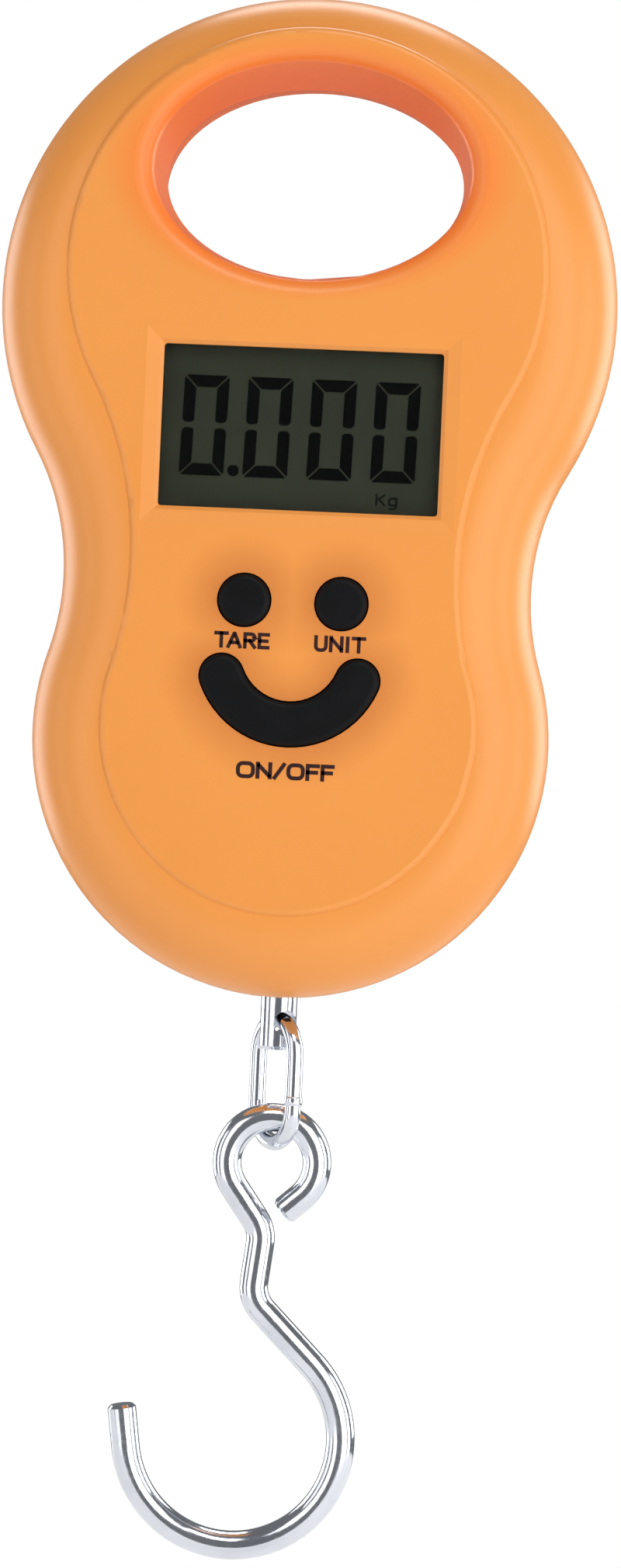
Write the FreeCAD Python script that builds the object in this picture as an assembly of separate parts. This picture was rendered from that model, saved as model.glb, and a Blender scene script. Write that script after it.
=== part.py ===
import FreeCAD, Part
import math
import os

# Digital fish scale: a hand-held body with a hand opening, a display, three buttons and, below it,
# a swivelling post, a chain link and a hook. Millimetres. +Z is up and the front faces -Y.
# The origin is at the top of the hand opening, where the hand carries the load.

V = FreeCAD.Vector
FRONT = -1
REAR = 1

# ---- Body: two round lobes joined by a waist ----
handle_bar = 9.85            # from the top of the opening to the top of the body
upper_radius = 35.5
lobe_distance = 49.85        # between the lobes' centres
waist_beside_window = 11.15  # from the display window's side to the waist
lower_lobe_beyond_waist = 2.8
front_depth = 11.6           # from the joint plane to the front face
wall = 2.0
edge_round = 9.0             # broad rounding between the faces and the side
seam_chamfer = 0.25
lip_height = 1.0             # tongue of the rear shell inside the front shell
lip_thick = 0.85
lip_gap = 0.1

# ---- Hand opening ----
opening_half_width = 17.2    # at the joint plane, where the opening is tightest
opening_half_height = 11.0
opening_side_draft = 0.9     # wider at the faces than at the joint plane, on each side
opening_end_draft = 1.6      # the same above and below
opening_flare = 2.2          # rounding of the opening's edges
sleeve_wall = 2.0

# ---- Raised front panel, inside the rounded rim ----
panel_rise = 0.4
panel_edge = 0.9             # rounding of the panel's edge; it meets the rim below its full quarter
panel_upper_inset = 8.2      # upper lobe's radius less the panel's
panel_upper_lift = 3.3       # the panel's upper arc sits higher than the lobe's
panel_lower_inset = 8.4
panel_lower_lift = 1.3
panel_waist_inset = 8.3

# ---- Display ----
window_width = 31.7
window_height = 18.4
window_below_opening = 9.3
window_frame = 1.5           # shallow slope round the window
window_frame_depth = 0.3
window_lip = 0.45            # steeper edge between the slope and the window
window_lip_depth = 0.4
window_corner = 0.4
lens_thick = 1.1
lens_border = 1.25           # lens beyond the window, all round
lens_gap = 0.1
lens_corner = 0.9
glass_seat_gap = 0.05        # between the display and the front shell
glass_border_x = 1.65        # front glass beyond the window
glass_border_z = 1.8
glass_thick = 1.1
rear_glass_thick = 1.1
contact_ledge = 2.9          # front glass below the rear glass, for the contacts
polariser_thick = 0.2
holder_wall = 1.4
holder_ledge = 1.6
holder_corner = 2.5
holder_inner_corner = 0.3
zebra_width = 2.0
zebra_inset = 1.5            # contact strip, from the display's side edges
fit_gap = 0.1                # general clearance between seated pieces

# ---- Buttons ----
button_row_below_window = 10.35
button_pitch = 11.0
button_radius = 2.95
button_gap = 0.15
button_proud = 0.55
button_round = 0.7
button_travel = 0.5
flange_border = 0.95
flange_thick = 0.8
smile_below_row = 5.55       # centre of the power button's arc, below the button row
smile_radius = 8.3
smile_width = 4.95
smile_half_angle = 68.0
switch_size = 6.0
switch_height = 3.3
switch_corner = 0.5
switch_clearance = 0.3       # left under the flange when the button is down
plunger_radius = 1.6
plunger_length = 1.4
plunger_gap = 0.15

# ---- Circuit board ----
board_thick = 1.6
board_side = 2.0             # board beyond the bosses of its upper screws
board_shoulder = 23.0        # height of the board's wide part
board_top_below_opening = 5.0
board_length = 55.0
board_corner = 2.0
resin_radius = 3.6
resin_height = 1.2
resin_round = 1.0
chip_length = 2.0            # the small chip parts
chip_width = 1.2
chip_height = 0.6
chip_pitch = 2.4
chips = 6
chips_below_top = 7.5        # the first of them, below the board's top edge

# ---- Batteries: two size AAA cells, upright and side by side ----
cell_radius = 5.25
cell_length = 44.5
cell_nub_radius = 1.9
cell_nub = 0.8
cell_between = 0.9            # between the two cells
wrap_thick = 0.2
cell_clearance = 0.45
contact_thick = 0.4
contact_width = 7.4
contact_pip = 0.4
spring_height = 3.0
spring_radius = 2.3
spring_wire = 0.6
spring_turns = 3
tab_half = 0.8               # solder tabs of the upper contacts
tab_front = 0.5              # from the compartment's floor to a tab
tab_proud = 1.2              # tab beyond the compartment's top wall
lead_beyond_wall = 0.7
case_wall = 1.2
case_behind_board = 0.7      # from the board to the compartment's floor
cell_floor_gap = 0.3
cell_door_gap = 0.3
case_below_opening = 7.9     # from the opening's lowest point to the compartment

# ---- Battery door, hinged at its lower edge ----
door_thick = 1.6
door_gap = 0.15
door_ledge = 1.9
barrel_radius = 1.2
door_pin_radius = 0.6
door_pin_length = 1.0
door_overlap = 1.5           # door beyond the compartment's top
seat_border = 1.0
pin_running_gap = 0.06
seat_wall = 2.0
seat_depth = 3.4
tongue_width = 8.0
tongue_thick = 0.9
tongue_length = 2.6
tongue_gap = 0.3
grip_ribs = 5
rib_radius = 0.45
rib_pitch = 1.8
rib_half = 5.5               # half length of the longest rib
rib_step = 0.5               # each one shorter than the last, at each end
ribs_below_edge = 4.0
scoop_radius = 5.7           # finger scoop beside the latch
scoop_centre_out = 4.9
scoop_below_edge = 0.5

# ---- Load cell: a bar bolted at its left end, loaded at x = 0 ----
beam_below_lobe = 16.0       # centre of the bar, below the lower lobe's centre
beam_height = 10.0
beam_depth = 8.0
beam_left_from_post = 15.3   # from the post's side to the bar's fixed end
beam_right_wall = 2.4        # bar beyond the post, at its loaded end
beam_hole_radius = 2.4
beam_holes_from_post = (6.8, 3.8)
beam_screw_from_post = 12.1
beam_screw_spacing = 5.6
beam_slot_half = 1.2         # slot between the dumb-bell's two bores
gauge_thick = 0.2
gauge_half_length = 1.2
gauge_half_width = 2.2
sealant_thick = 0.7
sealant_beyond_gauge = 0.4
sealant_half_width = 3.2
sealant_round = 0.4
bar_lead_pitch = 1.2

# ---- Post, link and hook ----
post_radius = 2.1
post_running_gap = 0.08
post_below_body = 6.1
post_head_border = 1.5       # head beyond the post, all round
post_head_height = 2.0
post_chamfer = 0.4
head_gap = 0.05
washer_border = 1.9
washer_gap = 0.2
washer_thick = 0.6
notch_gap = 0.65             # round the post, where it leaves the body
cross_hole_gap = 0.17        # round the link, where the cross-hole is tightest
cross_hole_up = 3.1          # above the post's lower end
link_wire = 1.9
link_pitch = 8.5             # between the link's two legs
link_turn = 58.0             # the link's plane, turned from the body's front
link_height = 14.27          # centreline height of the link
hook_wire = 3.3
eye_radius = 5.23
eye_rest_gap = 0.25
eye_end_angle = -48.0
eye_end_straight = 2.75
eye_leave_angle = 215.5
shank_turn = 96.3            # slope of the shank below the eye
shank_left = 1.2             # the shank's centreline beside the eye's centre, at shank_below_eye
shank_below_eye = 11.6
bend_radius = 4.0
bow_radius = 12.52
bow_left = 3.15
bow_below_eye = 32.1
bow_start_angle = 45.0
bow_end_angle = -172.0
tip_straight = 5.0
tip_chamfer = 0.35

# ---- Fasteners ----
screw_radius = 1.3
screw_head_radius = 2.4
screw_head_height = 1.6
screw_length = 14.0
screw_recess = 4.5
screw_gap = 0.02
screw_clearance = 0.2        # round a screw where it passes through without biting
screw_floor = 1.5            # left under a blind screw hole in the front shell
beam_screw_head = 2.3
beam_screw_bite = 4.0        # of the bar's screws, in the rear shell
recess_radius = 2.9
boss_radius = 3.0
rear_boss_radius = 3.7
screw_inset = 9.8            # shell screws, from the upper lobe's edge
lower_screw_inset = 8.0
upper_screw_angle = 17.0
lower_screw_angle = 9.0
board_screw_radius = 1.0
board_screw_length = 5.0
board_screw_head = 1.9
board_screw_head_height = 1.3
board_screw_inset = 3.0      # from the board's upper and lower edges
board_screw_floor = 0.5
board_screw_beside_case = 1.3
board_edge = 2.2             # board beyond its lower screws
board_notch_gap = 0.4        # round the shell's bosses
board_boss_radius = 2.2
lead_radius = 0.4
lead_bend = 1.0
lead_y = -1.2                # of the bar's leads, between the bar's middle and its front

# ---- Places worked out from the sizes above ----
waist_half = window_width / 2 + waist_beside_window
lower_radius = waist_half + lower_lobe_beyond_waist
cell_spacing = 2 * cell_radius + cell_between
upper_z = handle_bar - upper_radius
lower_z = upper_z - lobe_distance
opening_z = -opening_half_height
opening_bottom = -2 * opening_half_height
body_bottom = lower_z - lower_radius
front_face = -front_depth - panel_rise
front_inside = -front_depth + wall
holder_half = window_width / 2 + glass_border_x + fit_gap + holder_wall
board_half_width = holder_half + 2 * fit_gap + board_boss_radius + board_side
window_z = opening_bottom - window_below_opening - window_height / 2
lens_front = front_inside - lens_thick - fit_gap
glass_front = front_inside + glass_seat_gap
rear_glass_front = glass_front + glass_thick
polariser_front = rear_glass_front + rear_glass_thick
glass_back = polariser_front + polariser_thick
row_z = window_z - window_height / 2 - button_row_below_window
smile_z = row_z - smile_below_row
flange_front = front_inside + fit_gap
flange_back = flange_front + flange_thick
switch_front = flange_back + button_travel + switch_clearance
board_front = switch_front + switch_height
board_back = board_front + board_thick
board_top = opening_bottom - board_top_below_opening
board_bottom = board_top - board_length
case_floor = board_back + case_behind_board + case_wall
cell_y = case_floor + cell_floor_gap + cell_radius
door_inside = cell_y + cell_radius + cell_door_gap
rear_depth = door_inside + door_thick
case_half = cell_spacing / 2 + cell_radius + cell_clearance
case_top = opening_bottom - case_below_opening
case_length = 2 * contact_thick + contact_pip + cell_length + spring_height
case_bottom = case_top - case_length
board_screw_x = case_half + case_wall + board_screw_beside_case + board_screw_head
board_waist_half = board_screw_x + board_edge
door_half = case_half + door_ledge - door_gap
hinge_y = rear_depth - barrel_radius
hinge_z = case_bottom - case_wall - door_gap - barrel_radius
door_top = case_top + door_overlap - door_gap
seat_inside = rear_depth - seat_depth
seat_half = door_half + door_gap + seat_wall
beam_z = lower_z - beam_below_lobe
beam_top = beam_z + beam_height / 2
beam_bottom = beam_z - beam_height / 2
beam_right = post_radius + beam_right_wall
beam_left = post_radius + beam_left_from_post
beam_screw_x = -post_radius - beam_screw_from_post
beam_hole_x = [-post_radius - away for away in beam_holes_from_post]
post_bottom = body_bottom - post_below_body
cross_hole_z = post_bottom + cross_hole_up
head_bottom = beam_top + washer_thick + head_gap
link_inside = (link_pitch - link_wire) / 2
link_sag = link_inside - math.sqrt(link_inside ** 2 - post_radius ** 2)
cross_hole_radius = (link_wire + link_sag) / 2 + cross_hole_gap
link_top_z = cross_hole_z + link_sag / 2
link_bottom_z = link_top_z - link_height
eye_z = link_bottom_z + link_wire / 2 + eye_rest_gap + hook_wire / 2 - eye_radius
bow_z = eye_z - bow_below_eye
turn = math.radians(link_turn)
link_line = V(math.cos(turn), -math.sin(turn), 0)


def polar(radius, degrees, x=0.0, z=0.0):
    """Point at an angle from +X towards +Z around (x, z)."""
    a = math.radians(degrees)
    return x + radius * math.cos(a), z + radius * math.sin(a)


def box(x0, x1, y0, y1, z0, z1):
    return Part.makeBox(x1 - x0, y1 - y0, z1 - z0, V(x0, y0, z0))


def rod(radius, start, end):
    """Solid round bar between two points."""
    along = V(*end) - V(*start)
    return Part.makeCylinder(radius, along.Length, V(*start), along)


def arc_xz(x, z, radius, start, middle, end):
    """Arc in the XZ plane through three angles in degrees."""
    points = [polar(radius, a, x, z) for a in (start, middle, end)]
    return Part.Arc(*[V(px, 0, pz) for px, pz in points]).toShape()


def waist_arc_radius(r_up, r_low, half, distance):
    """Radius of the waist arcs that touch both lobes and leave the given half width."""
    low, high = 0.0, 2000.0
    for step in range(80):
        r = (low + high) / 2
        reach = math.sqrt((r_up - half) * (r_up + half + 2 * r))
        reach += math.sqrt((r_low - half) * (r_low + half + 2 * r))
        if reach < distance:
            low = r
        else:
            high = r
    return (low + high) / 2


def lobed_face(z_up, r_up, z_low, r_low, half):
    """Face in the joint plane: an upper lobe, two hollow waist arcs and a lower lobe."""
    r = waist_arc_radius(r_up, r_low, half, z_up - z_low)
    centre_x = r + half
    waist_z = z_up - math.sqrt((r_up + r) ** 2 - centre_x ** 2)
    up = math.degrees(math.atan2(waist_z - z_up, centre_x))
    down = math.degrees(math.atan2(waist_z - z_low, centre_x))
    edges = [arc_xz(0, z_up, r_up, up, 90, 180 - up)]
    edges.append(arc_xz(-centre_x, waist_z, r, -up, -(up + down) / 2, -down))
    edges.append(arc_xz(0, z_low, r_low, 180 - down, 270, 360 + down))
    edges.append(arc_xz(centre_x, waist_z, r, 180 + down, 180 + (up + down) / 2, 180 + up))
    return Part.Face(Part.Wire(Part.__sortEdges__(edges)))


def body_face(inset):
    return lobed_face(upper_z, upper_radius - inset, lower_z, lower_radius - inset, waist_half - inset)


def edges_at_y(solid, y):
    return [e for e in solid.Edges if abs(e.BoundBox.YMin - y) < 1e-4 and abs(e.BoundBox.YMax - y) < 1e-4]


def rounded_half(inset, depth, radius, side):
    """Half of the body, moved in by inset, with its far edge rounded."""
    solid = body_face(inset).extrude(V(0, side * depth, 0))
    return solid.makeFillet(radius, edges_at_y(solid, side * depth))


def oval_bar(grow, y0, y1, side_draft, end_draft):
    """Oval bar through the opening, its section grown by the drafts on the way from y0 to y1."""
    rings = []
    for y, wider, taller in ((y0, 0.0, 0.0), (y1, side_draft, end_draft)):
        half_width = opening_half_width + grow + wider
        half_height = opening_half_height + grow + taller
        oval = Part.Ellipse(V(0, 0, 0), half_width, half_height).toShape()
        oval.rotate(V(0, 0, 0), V(1, 0, 0), 90)
        oval.translate(V(0, y, opening_z))
        rings.append(Part.Wire([oval]))
    return Part.makeLoft(rings, True, True)


def drafted_bar(grow, side, depth):
    """The opening's drafted bar, from the joint plane to well beyond a face."""
    beyond = 1.5
    return oval_bar(grow, 0, beyond * side * depth, beyond * opening_side_draft, beyond * opening_end_draft)


def opened(body, side, depth):
    """Half body with the hand opening cut through it and its edge rounded at the face."""
    holed = body.cut(drafted_bar(0, side, depth))
    half_width = opening_half_width + 2 * opening_side_draft
    half_height = opening_half_height + 2 * opening_end_draft
    around = box(-half_width, half_width, min(side * depth / 2, 2 * side * depth),
                 max(side * depth / 2, 2 * side * depth), opening_z - half_height,
                 opening_z + half_height).BoundBox
    return holed.makeFillet(opening_flare, [e for e in holed.Edges if around.isInside(e.BoundBox)])


def rounded_rect(width, height, radius, y0, y1, x=0.0, z=0.0):
    """Plate with rounded corners, standing in the XZ plane from y0 to y1."""
    plate = box(x - width / 2, x + width / 2, y0, y1, z - height / 2, z + height / 2)
    upright = [e for e in plate.Edges if e.BoundBox.YLength > 0.99 * (y1 - y0)]
    return plate.makeFillet(radius, upright)


def rect_wire(width, height, y, z):
    corners = [V(sx * width / 2, y, z + sz * height / 2) for sx, sz in ((-1, -1), (1, -1), (1, 1), (-1, 1))]
    return Part.makePolygon(corners + corners[:1])


def window_recess(outer, inner, y, depth):
    """Sloping recess round the window: its borders at the front and at its bottom."""
    rings = [rect_wire(window_width + 2 * outer, window_height + 2 * outer, y, window_z),
             rect_wire(window_width + 2 * inner, window_height + 2 * inner, y + depth, window_z)]
    return Part.makeLoft(rings, True, True)


def smile_bar(grow, y0, y1):
    """Curved bar of the power button, its width grown all round, from y0 to y1."""
    half = smile_width / 2 + grow
    low, high = 270 - smile_half_angle, 270 + smile_half_angle
    edges = [arc_xz(0, smile_z, smile_radius + half, low, 270, high)]
    x, z = polar(smile_radius, high, 0, smile_z)
    edges.append(arc_xz(x, z, half, high, high + 90, high + 180))
    edges.append(arc_xz(0, smile_z, smile_radius - half, low, 270, high))
    x, z = polar(smile_radius, low, 0, smile_z)
    edges.append(arc_xz(x, z, half, low, low - 90, low - 180))
    bar = Part.Face(Part.Wire(Part.__sortEdges__(edges))).extrude(V(0, y1 - y0, 0))
    bar.translate(V(0, y0, 0))
    return bar


def swept(edges, radius):
    """Round wire along tangent edges."""
    path = Part.Wire(edges)
    start = path.Edges[0]
    point = start.valueAt(start.FirstParameter)
    along = start.tangentAt(start.FirstParameter)
    ring = Part.Wire([Part.Circle(point, along, radius).toShape()])
    solid = path.makePipeShell([ring], True, True)
    return solid


def filleted_path(points, radii):
    """Straight runs through the points, joined by tangent arcs of the given radii."""
    edges = []
    here = V(*points[0])
    for i, radius in enumerate(radii):
        corner, after = V(*points[i + 1]), V(*points[i + 2])
        back = (here - corner).normalize()
        ahead = (after - corner).normalize()
        half = back.getAngle(ahead) / 2
        reach = radius / math.tan(half)
        first, last = corner + back * reach, corner + ahead * reach
        middle_line = (back + ahead).normalize()
        middle = corner + middle_line * (radius / math.sin(half) - radius)
        edges.append(Part.LineSegment(here, first).toShape())
        edges.append(Part.Arc(first, middle, last).toShape())
        here = last
    edges.append(Part.LineSegment(here, V(*points[-1])).toShape())
    return edges


def shell_screw_places():
    """The four shell screws: two beside the opening, two beside the battery door."""
    places = []
    for side in (-1, 1):
        x, z = polar(upper_radius - screw_inset, upper_screw_angle, 0, upper_z)
        places.append((side * x, z))
        x, z = polar(lower_radius - lower_screw_inset, lower_screw_angle, 0, lower_z)
        places.append((side * x, z))
    return places


def board_screw_places():
    upper = [(side * (board_half_width - board_side), board_top - board_screw_inset) for side in (-1, 1)]
    lower = [(side * board_screw_x, board_bottom + board_screw_inset) for side in (-1, 1)]
    return upper + lower


def beam_screw_places():
    return [(beam_screw_x, beam_z + s * beam_screw_spacing / 2) for s in (-1, 1)]


def button_places():
    return {"tare": (-button_pitch / 2, row_z), "unit": (button_pitch / 2, row_z),
            "power": (0.0, smile_z - smile_radius)}


def shell_half(side, depth, raised=None):
    """Hollow half body before its own features: outside, cavity and the opening with its sleeve."""
    outside = rounded_half(0, depth, edge_round, side)
    outside = outside.makeChamfer(seam_chamfer, edges_at_y(outside, 0))
    if raised:
        outside = outside.fuse(raised)
    outside = opened(outside, side, depth)
    hollow = rounded_half(wall, depth - wall, edge_round - wall, side)
    return outside.cut(hollow.cut(drafted_bar(sleeve_wall, side, depth)))


def raised_panel():
    """Pad on the front face inside the rim, one small step higher, with a rounded edge."""
    spread = panel_edge - math.sqrt(panel_edge ** 2 - (panel_edge - panel_rise) ** 2)
    face = lobed_face(upper_z + panel_upper_lift, upper_radius - panel_upper_inset + spread,
                      lower_z + panel_lower_lift, lower_radius - panel_lower_inset + spread,
                      waist_half - panel_waist_inset + spread)
    pad = face.extrude(V(0, front_inside - panel_rise - front_face, 0))
    pad.translate(V(0, front_face, 0))
    return pad.makeFillet(panel_edge, edges_at_y(pad, front_face))


def post_notch():
    return rod(post_radius + notch_gap, (0, 0, body_bottom - 1), (0, 0, body_bottom + wall + 4))


def make_front_shell():
    shell = shell_half(FRONT, front_depth, raised_panel())
    rebate = body_face(wall - lip_thick - lip_gap).extrude(V(0, -lip_height - lip_gap, 0))
    shell = shell.cut(rebate.cut(drafted_bar(sleeve_wall, FRONT, front_depth)))
    for x, z in shell_screw_places():
        boss = rod(boss_radius, (x, 0, z), (x, front_inside - wall / 2, z))
        shell = shell.fuse(boss)
        shell = shell.cut(rod(screw_radius + screw_gap, (x, 1, z), (x, front_inside + screw_floor, z)))
    for x, z in board_screw_places():
        shell = shell.fuse(rod(board_boss_radius, (x, board_front, z), (x, front_inside - wall / 2, z)))
        shell = shell.cut(rod(board_screw_radius + screw_gap, (x, board_front + 1, z),
                              (x, board_back - board_screw_length - board_screw_floor, z)))
    slope = window_recess(window_lip + window_frame, window_lip, front_face, window_frame_depth)
    edge = window_recess(window_lip, 0, front_face + window_frame_depth, window_lip_depth)
    window = rounded_rect(window_width, window_height, window_corner, front_face - 1, 0, 0, window_z)
    pocket = rounded_rect(window_width + 2 * (lens_border + lens_gap),
                          window_height + 2 * (lens_border + lens_gap), lens_corner + lens_gap,
                          lens_front, 0, 0, window_z)
    shell = shell.cut(slope).cut(edge).cut(window).cut(pocket)
    for x, z in list(button_places().values())[:2]:
        shell = shell.cut(rod(button_radius + button_gap, (x, 0, z), (x, front_face - 1, z)))
    shell = shell.cut(smile_bar(button_gap, front_face - 1, 0))
    return shell.cut(post_notch())


def battery_case():
    """Compartment walls, door seat and hinge blocks, as one block of the rear shell."""
    floor = case_floor - case_wall
    block = box(-case_half - case_wall, case_half + case_wall, floor, rear_depth - wall / 2,
                case_bottom - case_wall, case_top + case_wall)
    seat = box(-seat_half, seat_half, seat_inside, rear_depth - wall / 2,
               hinge_z - barrel_radius - door_gap - seat_border, door_top + door_gap + seat_border)
    return block.fuse(seat)


def make_rear_shell():
    shell = shell_half(REAR, rear_depth)
    lip = body_face(wall - lip_thick).cut(body_face(wall)).extrude(V(0, -lip_height, 0))
    root = body_face(wall - lip_thick).cut(body_face(wall)).extrude(V(0, 1.0, 0))
    shell = shell.fuse(lip).fuse(root).fuse(battery_case())
    for x, z in shell_screw_places():
        shell = shell.fuse(rod(rear_boss_radius, (x, 0, z), (x, rear_depth - wall, z)).common(
            rounded_half(wall / 2, rear_depth, edge_round - wall / 2, REAR)))
        shell = shell.cut(rod(screw_radius + screw_clearance, (x, -1, z), (x, rear_depth + 1, z)))
        shell = shell.cut(rod(recess_radius, (x, rear_depth - screw_recess, z), (x, rear_depth + 1, z)))
    for x, z in beam_screw_places():
        shell = shell.fuse(rod(boss_radius, (x, beam_depth / 2, z), (x, rear_depth - wall / 2, z)).common(
            rounded_half(wall / 2, rear_depth, edge_round - wall / 2, REAR)))
        shell = shell.cut(rod(screw_radius + screw_gap, (x, 0, z), (x, rear_depth - wall, z)))
    bay = box(-case_half, case_half, case_floor, rear_depth + 1, case_bottom, case_top)
    recess = box(-door_half - door_gap, door_half + door_gap, door_inside - 0.1, rear_depth + 1,
                 hinge_z, door_top + door_gap)
    trough = rod(barrel_radius + door_gap, (-door_half - door_gap, hinge_y, hinge_z),
                 (door_half + door_gap, hinge_y, hinge_z))
    mouth = box(-door_half - door_gap, door_half + door_gap, hinge_y, rear_depth + 1,
                hinge_z - barrel_radius - door_gap, hinge_z + 1)
    slot = box(-tongue_width / 2 - tongue_gap, tongue_width / 2 + tongue_gap,
               door_inside - tongue_length - tongue_gap, rear_depth, case_top - 1, door_top + door_gap)
    pin_reach = door_half + door_pin_length + door_gap
    pins = rod(door_pin_radius + pin_running_gap, (-pin_reach, hinge_y, hinge_z),
               (pin_reach, hinge_y, hinge_z))
    finger = Part.makeSphere(scoop_radius, V(0, rear_depth + scoop_centre_out, door_top - scoop_below_edge))
    tabs = tab_slots()
    for tool in (bay, recess, trough, mouth, slot, pins, finger, tabs):
        shell = shell.cut(tool)
    return shell.cut(post_notch())


def make_door():
    """Battery door: plate, hinge barrel with two pins, latch tongue and grip ribs."""
    plate = box(-door_half, door_half, door_inside, rear_depth, hinge_z, door_top)
    plate = plate.fuse(rod(barrel_radius, (-door_half, hinge_y, hinge_z), (door_half, hinge_y, hinge_z)))
    reach = door_half + door_pin_length
    plate = plate.fuse(rod(door_pin_radius, (-reach, hinge_y, hinge_z), (reach, hinge_y, hinge_z)))
    tongue = box(-tongue_width / 2, tongue_width / 2, door_inside - tongue_length, door_inside + 0.5,
                 door_top - tongue_thick, door_top)
    plate = plate.fuse(tongue)
    for i in range(grip_ribs):
        z = door_top - ribs_below_edge - rib_pitch * i
        half = rib_half - rib_step * i
        y = rear_depth + rib_radius / 3
        plate = plate.cut(rod(rib_radius, (-half, y, z), (half, y, z)))
    return plate.removeSplitter()


def make_lens():
    return rounded_rect(window_width + 2 * lens_border, window_height + 2 * lens_border, lens_corner,
                        lens_front, lens_front + lens_thick, 0, window_z)


def make_lcd():
    """Two bonded glasses: the front one is longer below, where its contacts are."""
    width = window_width + 2 * glass_border_x
    top = window_z + window_height / 2 + glass_border_z
    bottom = window_z - window_height / 2 - glass_border_z
    front = box(-width / 2, width / 2, glass_front, rear_glass_front, bottom, top)
    rear = box(-width / 2, width / 2, rear_glass_front, polariser_front, bottom + contact_ledge, top)
    return front.fuse(rear).removeSplitter()


def make_reflector():
    width = window_width + 2 * glass_border_x - 1.0
    top = window_z + window_height / 2 + glass_border_z - 0.5
    bottom = window_z - window_height / 2 - glass_border_z + contact_ledge + 0.5
    return box(-width / 2, width / 2, polariser_front, glass_back, bottom, top)


def zebra_box(grow):
    width = window_width + 2 * (glass_border_x - zebra_inset)
    z = window_z - window_height / 2 - glass_border_z + contact_ledge / 2 - fit_gap
    return box(-width / 2 - grow, width / 2 + grow, rear_glass_front, board_front,
               z - zebra_width / 2 - grow, z + zebra_width / 2 + grow)


def make_holder():
    """Frame that locates the display over the board, with a slot for the contact strip."""
    width = window_width + 2 * (glass_border_x + fit_gap)
    height = window_height + 2 * (glass_border_z + fit_gap)
    outer = rounded_rect(width + 2 * holder_wall, height + 2 * holder_wall, holder_corner,
                         glass_front, board_front, 0, window_z)
    pocket = rounded_rect(width, height, holder_inner_corner, glass_front - 1, glass_back + glass_seat_gap,
                          0, window_z)
    clear = rounded_rect(width - 2 * holder_ledge, height - 2 * (holder_ledge + contact_ledge),
                         holder_inner_corner, glass_front - 1, board_front + 1, 0, window_z)
    return outer.cut(pocket).cut(clear).cut(zebra_box(fit_gap))


def make_board():
    """Board with a wide top behind the display and a narrow part behind the buttons."""
    wide = rounded_rect(2 * board_half_width, board_shoulder, board_corner, board_front, board_back,
                        0, board_top - board_shoulder / 2)
    narrow = rounded_rect(2 * board_waist_half, board_length, board_corner, board_front, board_back,
                          0, board_top - board_length / 2)
    board = wide.fuse(narrow).removeSplitter()
    for x, z in board_screw_places():
        board = board.cut(rod(board_screw_radius + fit_gap, (x, board_front - 1, z), (x, board_back + 1, z)))
    for x, z in shell_screw_places():
        board = board.cut(rod(boss_radius + board_notch_gap, (x, board_front - 1, z), (x, board_back + 1, z)))
    return board


def make_chip_blob():
    """Black drop of resin over the bonded chip, beside the battery compartment."""
    x = (case_half + case_wall + board_half_width) / 2
    z = board_top - board_shoulder / 2
    drop = rod(resin_radius, (x, board_back, z), (x, board_back + resin_height, z))
    return drop.makeFillet(resin_round, edges_at_y(drop, board_back + resin_height))


def make_small_parts():
    """Chip capacitors and resistors in a column on the board's other side of the compartment."""
    x = -(case_half + case_wall + board_half_width) / 2
    parts = []
    for i in range(chips):
        z = board_top - chips_below_top - chip_pitch * i
        height = chip_height * (1 + (i % 2) / 3)
        parts.append(box(x - chip_length / 2, x + chip_length / 2, board_back, board_back + height,
                         z - chip_width / 2, z + chip_width / 2))
    return Part.makeCompound(parts)


def make_cap(name):
    """Button cap with its retaining flange behind the panel."""
    tip = front_face - button_proud
    x, z = button_places()[name]
    if name == "power":
        cap = smile_bar(0, tip, flange_back)
        flange = smile_bar(flange_border, flange_front, flange_back)
    else:
        cap = rod(button_radius, (x, tip, z), (x, flange_back, z))
        flange = rod(button_radius + flange_border, (x, flange_front, z), (x, flange_back, z))
    cap = cap.makeFillet(button_round, edges_at_y(cap, tip))
    return cap.fuse(flange).removeSplitter()


def make_plunger(name):
    x, z = button_places()[name]
    return rod(plunger_radius, (x, flange_back, z), (x, flange_back + plunger_length, z))


def make_switches():
    """Three tact switch bodies soldered to the board, each with a bore for its plunger."""
    parts = []
    for x, z in button_places().values():
        body = rounded_rect(switch_size, switch_size, switch_corner, switch_front, board_front, x, z)
        bore = rod(plunger_radius + plunger_gap, (x, switch_front - 1, z),
                   (x, flange_back + plunger_length + button_travel + plunger_gap, z))
        parts.append(body.cut(bore))
    return Part.makeCompound(parts)


def cell_ends():
    """For each cell: x, height of its nub end, height of its flat end, direction of the nub."""
    near_top = case_top - contact_thick
    near_bottom = case_bottom + contact_thick
    left = (-cell_spacing / 2, near_top - contact_pip, near_bottom + spring_height, 1)
    right = (cell_spacing / 2, near_bottom + contact_pip, near_top - spring_height, -1)
    return [left, right]


def make_cells():
    cells = []
    for x, nub_z, flat_z, up in cell_ends():
        can = rod(cell_radius - wrap_thick, (x, cell_y, flat_z), (x, cell_y, nub_z - up * cell_nub))
        nub = rod(cell_nub_radius, (x, cell_y, nub_z - up * (cell_nub + 0.5)), (x, cell_y, nub_z))
        cells.append(can.fuse(nub).removeSplitter())
    return Part.makeCompound(cells)


def make_wraps():
    """Printed sleeves around the cells' cans."""
    wraps = []
    for x, nub_z, flat_z, up in cell_ends():
        low, high = flat_z + 0.3 * up, nub_z - up * (cell_nub + 0.3)
        sleeve = rod(cell_radius, (x, cell_y, low), (x, cell_y, high))
        wraps.append(sleeve.cut(rod(cell_radius - wrap_thick, (x, cell_y, low - up), (x, cell_y, high + up))))
    return Part.makeCompound(wraps)


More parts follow.
